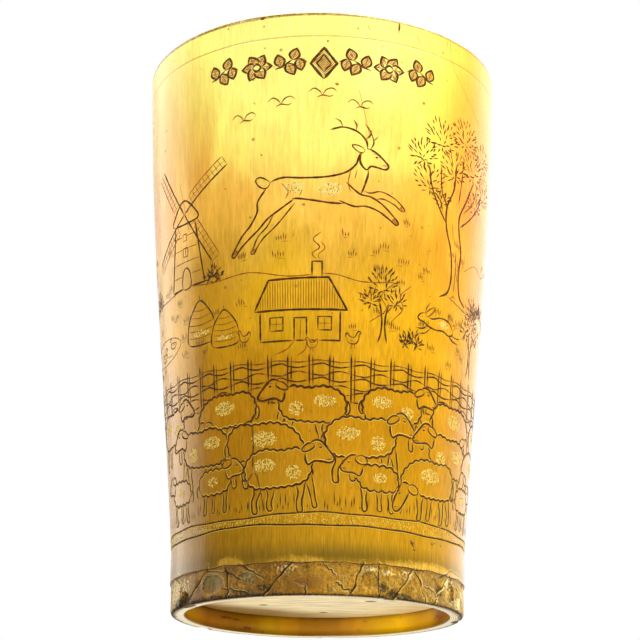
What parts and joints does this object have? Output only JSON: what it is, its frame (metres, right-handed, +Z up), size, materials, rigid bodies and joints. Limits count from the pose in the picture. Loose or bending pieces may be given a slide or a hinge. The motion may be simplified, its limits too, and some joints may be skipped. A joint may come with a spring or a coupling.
{
  "type": "horn beaker",
  "caption": "Tall tapering drinking beaker turned from horn, engraved all round, with a sprung-in horn base disc and an aged, flaked foot band.",
  "frame": {"origin": "centre of the ring that the beaker stands on, in the foot plane", "axes": "+Z up the beaker's axis to the rim, -Y towards the pictured front, +X to the right of that front"},
  "size_m": [0.074, 0.074, 0.115],
  "materials": {
    "polished_horn": "polished translucent horn, lemon yellow at the rim and amber below",
    "scraped_horn": "scraped pale horn with fine straight grain"
  },
  "bodies": {
    "root": {"horn_body": "polished_horn", "base_disc": "scraped_horn"}
  },
  "joints": []
}
